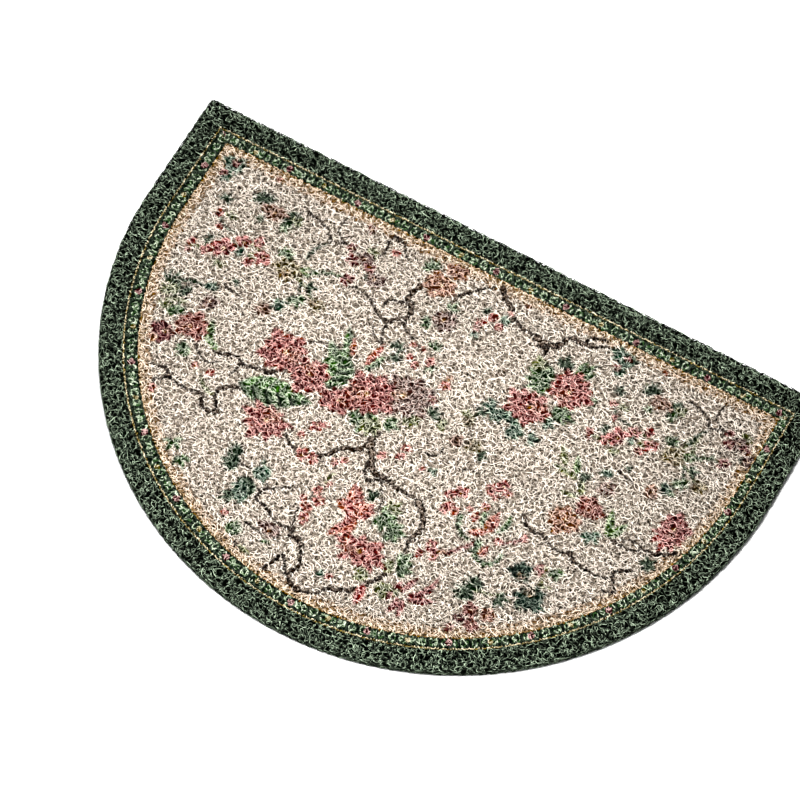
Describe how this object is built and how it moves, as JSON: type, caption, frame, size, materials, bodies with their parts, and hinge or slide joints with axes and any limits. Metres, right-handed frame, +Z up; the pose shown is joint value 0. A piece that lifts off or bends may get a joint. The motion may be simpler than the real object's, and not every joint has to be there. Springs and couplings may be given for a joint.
{
  "type": "doormat",
  "caption": "Half-round looped-filament doormat with a straight edge, short straight sides and a round front, flat above and below.",
  "frame": {"origin": "middle of the mat's box on its flat underside", "axes": "+X along the straight edge, +Y towards the straight edge, +Z up out of the walked-on face"},
  "size_m": [0.8996, 0.6094, 0.012],
  "materials": {
    "looped_vinyl": "printed looped vinyl filament, cream with a dark green border, slightly shiny"
  },
  "bodies": {
    "root": {"mat": "looped_vinyl"}
  },
  "joints": []
}
